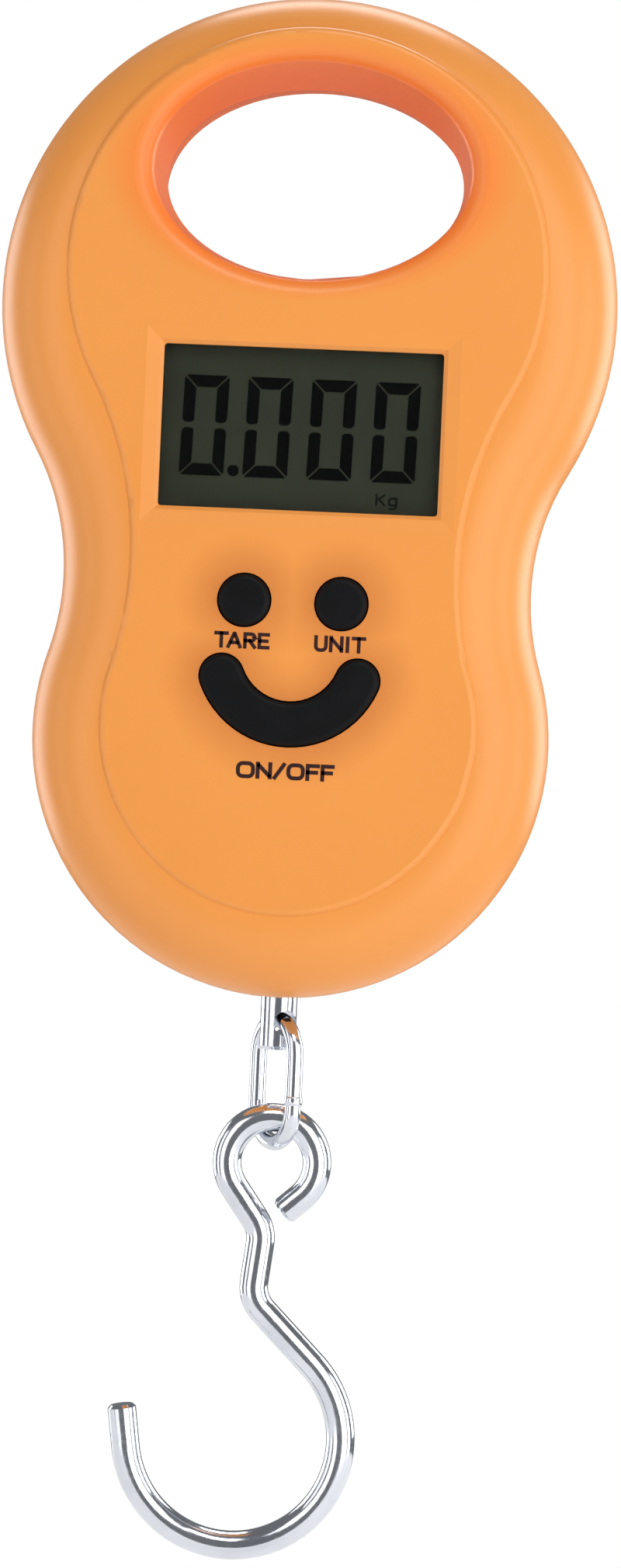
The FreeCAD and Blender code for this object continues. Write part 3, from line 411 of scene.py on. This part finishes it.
def plates(name, outlines, front_y, thickness, material, body="housing"):
    """Thin plates facing -Y, one for each outline of (x, z) points in metres."""
    mesh = bpy.data.meshes.new(name)
    made = bmesh.new()
    for outline in outlines:
        near = [made.verts.new((x, front_y, z)) for x, z in outline]
        far = [made.verts.new((x, front_y + thickness, z)) for x, z in outline]
        made.faces.new(near)
        made.faces.new(far[::-1])
        for i in range(len(outline)):
            j = (i + 1) % len(outline)
            made.faces.new((near[j], near[i], far[i], far[j]))
    bmesh.ops.recalc_face_normals(made, faces=made.faces)
    made.to_mesh(mesh)
    made.free()
    mesh.materials.append(material)
    piece = bpy.data.objects.new(name, mesh)
    scene.collection.objects.link(piece)
    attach(piece, body)
    print(name, len(outlines), "plates")
    return piece

# %% Strokes of a nought
figure_height = 11.4 * MM
figure_width = 5.1 * MM
figure_pitch = 7.25 * MM
stroke = 1.36 * MM
gap = 0.13 * MM
bevel = 0.34 * MM
blunt = 0.36 * MM
waist = 0.62 * MM
lean = math.tan(math.radians(1.5))


def nought(left, bottom):
    """Outlines of the six strokes of a nought whose lower left corner is given."""
    w, h, s, g, b = figure_width, figure_height, stroke, gap, bevel
    bar_top = [(b, h), (w - b, h), (w - (b + g) / 2, h - (b - g) / 2), (w - s - g, h - s), (s + g, h - s),
               ((b + g) / 2, h - (b - g) / 2)]
    end = h / 2 + waist / 2
    side_top = [(0, h - b), ((b - g) / 2, h - (b + g) / 2), (s, h - s - g), (s, end + blunt * 0.6),
                (s - blunt, end), (blunt, end), (0, end + blunt)]
    flip_x = lambda outline: [(w - x, z) for x, z in outline]
    flip_z = lambda outline: [(x, h - z) for x, z in outline]
    side_low = flip_z(side_top)
    strokes = [bar_top, flip_z(bar_top), side_top, flip_x(side_top), side_low, flip_x(side_low)]
    return [[(left + x + z * lean, bottom + z) for x, z in outline] for outline in strokes]


figures_inset = 2.1 * MM
figures_rise = 3.7 * MM
dot_radius = 0.66 * MM
ink_lift = 0.03 * MM
ink_depth = 0.02 * MM
figures_left = -window_half + figures_inset
figures_bottom = window_low_z + figures_rise
outlines = []
for place in range(4):
    outlines += nought(figures_left + place * figure_pitch, figures_bottom)
dot_x = figures_left + figure_width + 1.1 * MM
dot_z = figures_bottom + 0.68 * MM
dot_angles = [math.tau * i / 24 for i in range(24)]
outlines.append([(dot_x + dot_radius * math.cos(a), dot_z + dot_radius * math.sin(a)) for a in dot_angles])
figure_ink = finish("display_figures", (0.0008, 0.0009, 0.0008), (0.0014, 0.0015, 0.0014), (0.5, 0.6),
                    0.2, 0.001, Specular_IOR_Level=0.0)
faint_ink = finish("display_sign", (0.010, 0.011, 0.008), (0.008, 0.009, 0.007), (0.5, 0.6), 0.2, 0.001,
                   Specular_IOR_Level=0.0)
figure_y = glass_low.y - ink_lift
plates("display_figures", outlines, figure_y, ink_depth, figure_ink)

# %% [markdown]
# ## Words on the panel
# The words beside the buttons are pad-printed in a dark maroon ink. Letters could be Blender text, but
# here each one is drawn as a pen would: a few strokes of one width, with square ends and mitred corners.
# That gives the plain, wide letters of such panels and closed outlines that stay crisp at any size.

# %% Pen strokes
def pen(points, width, closed=False):
    """Outlines of a pen stroke: a quadrilateral for each run, with square ends and mitred corners."""
    runs = [Vector(p) for p in points]
    count = len(runs)
    if not closed:
        first_way = (runs[1] - runs[0]).normalized()
        last_way = (runs[-1] - runs[-2]).normalized()
        runs[0] = runs[0] - first_way * width / 2
        runs[-1] = runs[-1] + last_way * width / 2

    def offset(i):
        here = runs[i]
        before = runs[i - 1] if closed or i else None
        after = runs[(i + 1) % count] if closed or i < count - 1 else None
        ways = []
        if before is not None:
            ways.append((here - before).normalized())
        if after is not None:
            ways.append((after - here).normalized())
        sides = [Vector((-way.y, way.x)) for way in ways]
        middle = sum(sides, Vector((0, 0))).normalized()
        return middle * (width / 2 / max(middle.dot(sides[0]), 0.45))

    offsets = [offset(i) for i in range(count)]
    outlines = []
    for i in range(count if closed else count - 1):
        j = (i + 1) % count
        outlines.append([tuple(runs[i] + offsets[i]), tuple(runs[j] + offsets[j]),
                         tuple(runs[j] - offsets[j]), tuple(runs[i] - offsets[i])])
    return outlines


def turn_corner(x, z, radius, start, steps=4):
    """Points of a quarter turn about (x, z)."""
    angles = [math.radians(start + 90 * i / steps) for i in range(steps + 1)]
    return [(x + radius * math.cos(a), z + radius * math.sin(a)) for a in angles]


def round_letter(w, r):
    """Closed rounded box, for an O."""
    return (turn_corner(w - r, 1 - r, r, 0) + turn_corner(r, 1 - r, r, 90)
            + turn_corner(r, r, r, 180) + turn_corner(w - r, r, r, 270))


def letter(name, w):
    """Strokes of one letter, w wide and 1 high: each is (points, closed)."""
    middle = 0.5
    bowl = turn_corner(w - 0.26, 0.74, 0.26, -90) + turn_corner(w - 0.26, 0.74, 0.26, 0)
    cup = turn_corner(0.3, 0.3, 0.3, 180) + turn_corner(w - 0.3, 0.3, 0.3, 270)
    shapes = {
        "T": [([(0, 1), (w, 1)], False), ([(w / 2, 1), (w / 2, 0)], False)],
        "A": [([(0, 0), (w / 2 - 0.03, 1), (w / 2 + 0.03, 1), (w, 0)], False),
              ([(0.26 * w, 0.30), (0.74 * w, 0.30)], False)],
        "R": [([(0, 0), (0, 1)] + bowl[::-1] + [(0, 0.48)], False), ([(0.5 * w, 0.48), (w, 0)], False)],
        "E": [([(w, 1), (0, 1), (0, 0), (w, 0)], False), ([(0, middle), (0.86 * w, middle)], False)],
        "U": [([(0, 1)] + cup + [(w, 1)], False)],
        "N": [([(0, 0), (0, 1)], False), ([(0.1 * w, 0.88), (0.9 * w, 0.12)], False),
              ([(w, 0), (w, 1)], False)],
        "I": [([(w / 2, 0), (w / 2, 1)], False)],
        "O": [(round_letter(w, 0.36), True)],
        "F": [([(0, 0), (0, 1), (w, 1)], False), ([(0, middle), (0.85 * w, middle)], False)],
        "/": [([(0, 0), (w, 1)], False)],
        "K": [([(0, 0), (0, 1)], False), ([(w, 1), (0, 0.38)], False), ([(0.3 * w, 0.6), (w, 0)], False)],
        "g": [([(x, z * 0.7) for x, z in round_letter(w, 0.3)], True),
              ([(w, 0.7), (w, -0.15), (w - 0.2, -0.36), (0.08, -0.36)], False)],
    }
    return shapes[name]


tuck = {"TA": 0.24}


def word(text, widths, middle_x, base_z, height, pen_width, between):
    """Outlines of a word drawn with one pen, centred on middle_x, its capitals height tall."""
    tall = height - pen_width
    tucks = [tuck.get(text[i:i + 2], 0) for i in range(len(text))]
    total = (sum(widths) + between * (len(text) - 1) - sum(tucks)) * tall
    x = middle_x - total / 2
    outlines = []
    for name, w, closer in zip(text, widths, tucks):
        for points, closed in letter(name, w):
            placed = [(x + px * tall, base_z + pen_width / 2 + pz * tall) for px, pz in points]
            outlines += pen(placed, pen_width, closed)
        x += (w + between - closer) * tall
    return outlines

# %% Printed words
maroon_ink = finish("printed_maroon", (0.020, 0.0022, 0.0025), (0.026, 0.003, 0.003), (0.45, 0.6),
                    0.15, 0.003, Specular_IOR_Level=0.3)
panel_y = front_low.y
ink = 0.025 * MM
small_cap = 1.86 * MM
small_pen = 0.40 * MM
small_base = tare_middle.z - 5.5 * MM
wide_cap = 1.92 * MM
wide_pen = 0.44 * MM
wide_base = power_low.z - 2.85 * MM
sign_cap = 1.36 * MM
sign_pen = 0.24 * MM
sign_base = window_low_z + 1.05 * MM
plates("word_tare", word("TARE", (0.84, 0.90, 0.74, 0.66), tare_middle.x - 0.05 * MM, small_base, small_cap,
                         small_pen, 0.38), panel_y - ink, ink * 2, maroon_ink)
plates("word_unit", word("UNIT", (0.78, 0.84, 0.14, 0.84), unit_middle.x + 0.05 * MM, small_base, small_cap,
                         small_pen, 0.38), panel_y - ink, ink * 2, maroon_ink)
plates("word_on_off", word("ON/OFF", (1.15, 0.95, 0.68, 1.10, 0.78, 0.77), 0.0, wide_base, wide_cap,
                           wide_pen, 0.36), panel_y - ink, ink * 2, maroon_ink)
plates("sign_kg", word("Kg", (0.80, 0.72), 10.0 * MM, sign_base, sign_cap, sign_pen, 0.50),
       figure_y, ink_depth, faint_ink)

# %% [markdown]
# ## Steel
# The post, the link and the hook are bent or turned from wire and plated bright. Drawing the wire leaves
# fine lines along it and plating leaves it slightly lumpy. The lines follow the wire only roughly here:
# noise stretched along the height, mixed with even noise, which is enough at this size.

# %% Plated steel
def steel_finish(name, colour, other, rough, lines_mm, lumps_mm):
    made = finish(name, colour, other, rough, 0.5, 0.002, patch_mm=5.0, Metallic=1.0)
    tree = made.node_tree
    bsdf = tree.nodes["Principled BSDF"]
    place = add(tree, "ShaderNodeTexCoord").outputs["Object"]
    drawn = add(tree, "ShaderNodeMapping")
    drawn.inputs["Scale"].default_value = (1, 1, 0.08)
    link(tree, place, drawn.inputs["Vector"])
    lines = cloud(tree, drawn.outputs["Vector"], 0.14, detail=2.0)
    lumps = cloud(tree, place, 1.6, detail=1.5)
    lump_bump = add(tree, "ShaderNodeBump", Strength=1.0, Distance=lumps_mm * MM)
    line_bump = add(tree, "ShaderNodeBump", Strength=1.0, Distance=lines_mm * MM)
    link(tree, lumps, lump_bump.inputs["Height"])
    link(tree, lines, line_bump.inputs["Height"])
    link(tree, lump_bump.outputs["Normal"], line_bump.inputs["Normal"])
    link(tree, line_bump.outputs["Normal"], bsdf.inputs["Normal"])
    return made


plated = steel_finish("plated_steel", (0.74, 0.76, 0.80), (0.64, 0.66, 0.71), (0.09, 0.17), 0.0004, 0.016)
give(plated, "hook_post", "chain_link", "load_hook")

# %% [markdown]
# ## Weld on the link
# The link is closed by a butt weld low on one leg, which leaves a collar a little thicker than the wire.
# It is lofted from rings whose radius swells and is uneven, because an even torus would look like a bead.

# %% Weld bead
link_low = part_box("chain_link")[0]
wire = 1.9 * MM
link_turn = math.radians(58)
link_way = Vector((math.cos(link_turn), -math.sin(link_turn), 0))
leg = link_way * 4.25 * MM
weld_rise = 6.1 * MM
weld_swell = 0.13 * MM
weld_length = 1.1 * MM


def weld_bead(name, middle, radius, swell, length, rings=9, around=28):
    mesh = bpy.data.meshes.new(name)
    made = bmesh.new()
    loops = []
    for i in range(rings):
        t = i / (rings - 1)
        bulge = math.sin(math.pi * t) ** 0.7
        loop = []
        for j in range(around):
            a = math.tau * j / around
            uneven = 1 + 0.35 * noise.noise(Vector((math.cos(a) * 1.7, math.sin(a) * 1.7, t * 3.0 + 4.0)))
            r = radius * 0.985 + swell * bulge * uneven
            away = Vector((r * math.cos(a), r * math.sin(a), (t - 0.5) * length))
            loop.append(made.verts.new(middle + away))
        loops.append(loop)
    for lower, upper in zip(loops, loops[1:]):
        for j in range(around):
            k = (j + 1) % around
            made.faces.new((lower[j], lower[k], upper[k], upper[j]))
    made.faces.new(loops[0][::-1])
    made.faces.new(loops[-1])
    for face in made.faces:
        face.smooth = len(face.verts) == 4
    made.to_mesh(mesh)
    made.free()
    mesh.materials.append(plated)
    piece = bpy.data.objects.new(name, mesh)
    scene.collection.objects.link(piece)
    print(name, round(2000 * (radius + swell), 2), "mm across")
    return piece


weld_middle = leg + Vector((0, 0, link_low.z + weld_rise))
bead = weld_bead("link_weld", weld_middle, wire / 2, weld_swell, weld_length)
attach(bead, "link")

# %% [markdown]
# ## Screws and battery contacts
# The screws are zinc-plated and the battery contacts nickel-plated spring steel, both duller than the
# hook. They use the steel maker again with more roughness.

# %% Small metal
zinc = steel_finish("zinc_plate", (0.62, 0.63, 0.66), (0.52, 0.53, 0.56), (0.24, 0.38), 0.002, 0.01)
give(zinc, "shell_screws", "board_screws", "load_cell_screws")
nickel = steel_finish("nickel_plate", (0.72, 0.70, 0.64), (0.66, 0.63, 0.57), (0.18, 0.30), 0.0015, 0.006)
give(nickel, "battery_springs", "bridge_contact", "end_contacts", "post_washer")
cans = steel_finish("cell_can", (0.70, 0.69, 0.66), (0.62, 0.61, 0.58), (0.20, 0.32), 0.002, 0.006)
give(cans, "battery_cells")

# %% [markdown]
# ## Battery sleeves
# Each cell wears a printed plastic sleeve: a dark body with a copper-coloured band at its nub end. The
# two cells lie opposite ways up, so the band is at the top of one and at the bottom of the other. One
# material can do both, because the side that a point is on tells which way up its cell is.

# %% Sleeve finish
band_height = 11 * MM


def sleeve_finish():
    low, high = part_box("battery_wraps")
    made = finish("cell_sleeve", (0.012, 0.013, 0.016), (0.018, 0.019, 0.022), (0.22, 0.32), 0.5, 0.002,
                  Coat_Weight=0.4, Coat_Roughness=0.1)
    tree = made.node_tree
    bsdf = tree.nodes["Principled BSDF"]
    body = bsdf.inputs["Base Color"].links[0].from_socket
    place = add(tree, "ShaderNodeTexCoord").outputs["Object"]
    parts = add(tree, "ShaderNodeSeparateXYZ")
    link(tree, place, parts.inputs["Vector"])
    left = add(tree, "ShaderNodeMath", operation="LESS_THAN")
    left.inputs[1].default_value = 0.0
    link(tree, parts.outputs["X"], left.inputs[0])
    above = add(tree, "ShaderNodeMath", operation="GREATER_THAN")
    above.inputs[1].default_value = high.z - band_height
    link(tree, parts.outputs["Z"], above.inputs[0])
    below = add(tree, "ShaderNodeMath", operation="LESS_THAN")
    below.inputs[1].default_value = low.z + band_height
    link(tree, parts.outputs["Z"], below.inputs[0])
    band = add(tree, "ShaderNodeMix", data_type="FLOAT")
    link(tree, left.outputs["Value"], band.inputs["Factor"])
    link(tree, below.outputs["Value"], band.inputs[2])
    link(tree, above.outputs["Value"], band.inputs[3])
    drift = ranged(tree, cloud(tree, place, 1.0), 0, 1)
    copper = blended(tree, drift, (0.55, 0.26, 0.09), (0.47, 0.21, 0.07))
    link(tree, blended(tree, band.outputs[0], body, copper), bsdf.inputs["Base Color"])
    return made


give(sleeve_finish(), "battery_wraps")

# %% [markdown]
# ## Inner pieces
# What is inside the closed body is seen only when the battery door is open or the part is taken apart.
# Each piece still has its own finish: solder mask over copper tracks, matt resin, white nylon, striped
# contact rubber, machined aluminium, amber gauge film, silicone and coloured wire.

# %% Circuit board
def board_finish():
    made = finish("solder_mask", (0.010, 0.085, 0.030), (0.008, 0.070, 0.024), (0.25, 0.38), 0.3, 0.003)
    tree = made.node_tree
    bsdf = tree.nodes["Principled BSDF"]
    mask = bsdf.inputs["Base Color"].links[0].from_socket
    place = add(tree, "ShaderNodeTexCoord").outputs["Object"]
    flat = add(tree, "ShaderNodeMapping")
    flat.inputs["Rotation"].default_value = (math.pi / 2, 0, 0)
    link(tree, place, flat.inputs["Vector"])
    tracks = add(tree, "ShaderNodeTexBrick", Scale=1.0, Mortar_Size=0.22 * MM, Brick_Width=4.2 * MM,
                 Row_Height=1.6 * MM)
    tracks.inputs["Color1"].default_value = (0, 0, 0, 1)
    tracks.inputs["Color2"].default_value = (0, 0, 0, 1)
    tracks.inputs["Mortar"].default_value = (1, 1, 1, 1)
    link(tree, flat.outputs["Vector"], tracks.inputs["Vector"])
    link(tree, blended(tree, tracks.outputs["Fac"], mask, (0.030, 0.16, 0.055)), bsdf.inputs["Base Color"])
    return made


give(board_finish(), "circuit_board")

# %% Contact rubber
def striped_rubber():
    made = finish("contact_rubber", (0.72, 0.72, 0.70), (0.66, 0.66, 0.64), (0.5, 0.65), 0.2, 0.004)
    tree = made.node_tree
    bsdf = tree.nodes["Principled BSDF"]
    clear = bsdf.inputs["Base Color"].links[0].from_socket
    place = add(tree, "ShaderNodeTexCoord").outputs["Object"]
    stripes = add(tree, "ShaderNodeTexWave", Scale=1000.0, Distortion=0.0, bands_direction="X")
    link(tree, place, stripes.inputs["Vector"])
    dark = ranged(tree, stripes.outputs["Fac"], 0, 1, 0.45, 0.55)
    link(tree, blended(tree, dark, clear, (0.02, 0.02, 0.02)), bsdf.inputs["Base Color"])
    return made


give(striped_rubber(), "contact_strip")

# %% Wire insulation
def lead_finish():
    """Silicone insulation whose colour changes in steps from left to right."""
    made = finish("lead_insulation", (0.55, 0.02, 0.02), (0.48, 0.018, 0.018), (0.35, 0.48), 0.2, 0.002)
    tree = made.node_tree
    bsdf = tree.nodes["Principled BSDF"]
    place = add(tree, "ShaderNodeTexCoord").outputs["Object"]
    parts = add(tree, "ShaderNodeSeparateXYZ")
    link(tree, place, parts.inputs["Vector"])
    low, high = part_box("load_cell_leads")
    across = ranged(tree, parts.outputs["X"], 0, 1, low.x, high.x)
    ramp = add(tree, "ShaderNodeValToRGB")
    ramp.color_ramp.interpolation = "CONSTANT"
    red = (0.55, 0.02, 0.02)
    white = (0.75, 0.74, 0.70)
    green = (0.03, 0.30, 0.06)
    black = (0.02, 0.02, 0.02)
    colours = ((0.0, red), (0.25, white), (0.5, green), (0.75, black))
    ramp.color_ramp.elements[0].color = (*colours[0][1], 1)
    ramp.color_ramp.elements[1].position = colours[1][0]
    ramp.color_ramp.elements[1].color = (*colours[1][1], 1)
    for position, colour in colours[2:]:
        ramp.color_ramp.elements.new(position).color = (*colour, 1)
    link(tree, across, ramp.inputs["Fac"])
    link(tree, ramp.outputs["Color"], bsdf.inputs["Base Color"])
    return made


give(lead_finish(), "load_cell_leads", "battery_leads")

# %% Load cell and the rest
give(steel_finish("machined_aluminium", (0.80, 0.80, 0.81), (0.74, 0.74, 0.75), (0.22, 0.36), 0.003, 0.002),
     "load_cell")
give(finish("gauge_film", (0.50, 0.24, 0.05), (0.42, 0.19, 0.04), (0.25, 0.35), 0.2, 0.003), "strain_gauges")
give(finish("white_silicone", (0.80, 0.80, 0.77), (0.74, 0.74, 0.71), (0.35, 0.5), 0.8, 0.05),
     "gauge_sealant")
give(finish("chip_resin", (0.012, 0.012, 0.013), (0.02, 0.02, 0.021), (0.35, 0.5), 0.3, 0.01), "chip_resin")
give(finish("chip_parts", (0.30, 0.22, 0.15), (0.22, 0.16, 0.11), (0.4, 0.55), 0.2, 0.004, patch_mm=1.0),
     "board_components")
give(finish("nylon_white", (0.78, 0.78, 0.76), (0.72, 0.72, 0.70), (0.4, 0.52), 0.25, 0.004), "lcd_holder")
give(finish("switch_black", (0.02, 0.02, 0.021), (0.03, 0.03, 0.031), (0.42, 0.55), 0.2, 0.004),
     "tact_switches", "tare_plunger", "unit_plunger", "power_plunger")
bare = [name for name, piece in nodes.items()
        if not piece.data.materials or not piece.data.materials[0].use_nodes]
print("nodes without a finish:", bare)

# %% [markdown]
# ## Floor
# The scale hangs, so the floor is only what light bounces from, well below the hook. It is a plain pale
# disc that glows very faintly, which stands for light that a whole white room would send back up.

# %% Floor
hook_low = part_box("load_hook")[0]


def floor_plate(radius, z):
    mesh = bpy.data.meshes.new("floor")
    made = bmesh.new()
    bmesh.ops.create_circle(made, cap_ends=True, segments=96, radius=radius)
    for vert in made.verts:
        vert.co.z = z
    made.to_mesh(mesh)
    made.free()
    piece = bpy.data.objects.new("floor", mesh)
    scene.collection.objects.link(piece)
    return piece


floor_radius = 0.42
floor_drop = 0.09
floor = floor_plate(floor_radius, hook_low.z - floor_drop)
pale_floor = finish("pale_floor", (0.90, 0.90, 0.90), (0.88, 0.88, 0.88), (0.7, 0.8), 3.0, 0.01)
floor_bsdf = pale_floor.node_tree.nodes["Principled BSDF"]
floor_bsdf.inputs["Emission Color"].default_value = (1, 1, 1, 1)
floor_bsdf.inputs["Emission Strength"].default_value = 0.12
floor.data.materials.append(pale_floor)
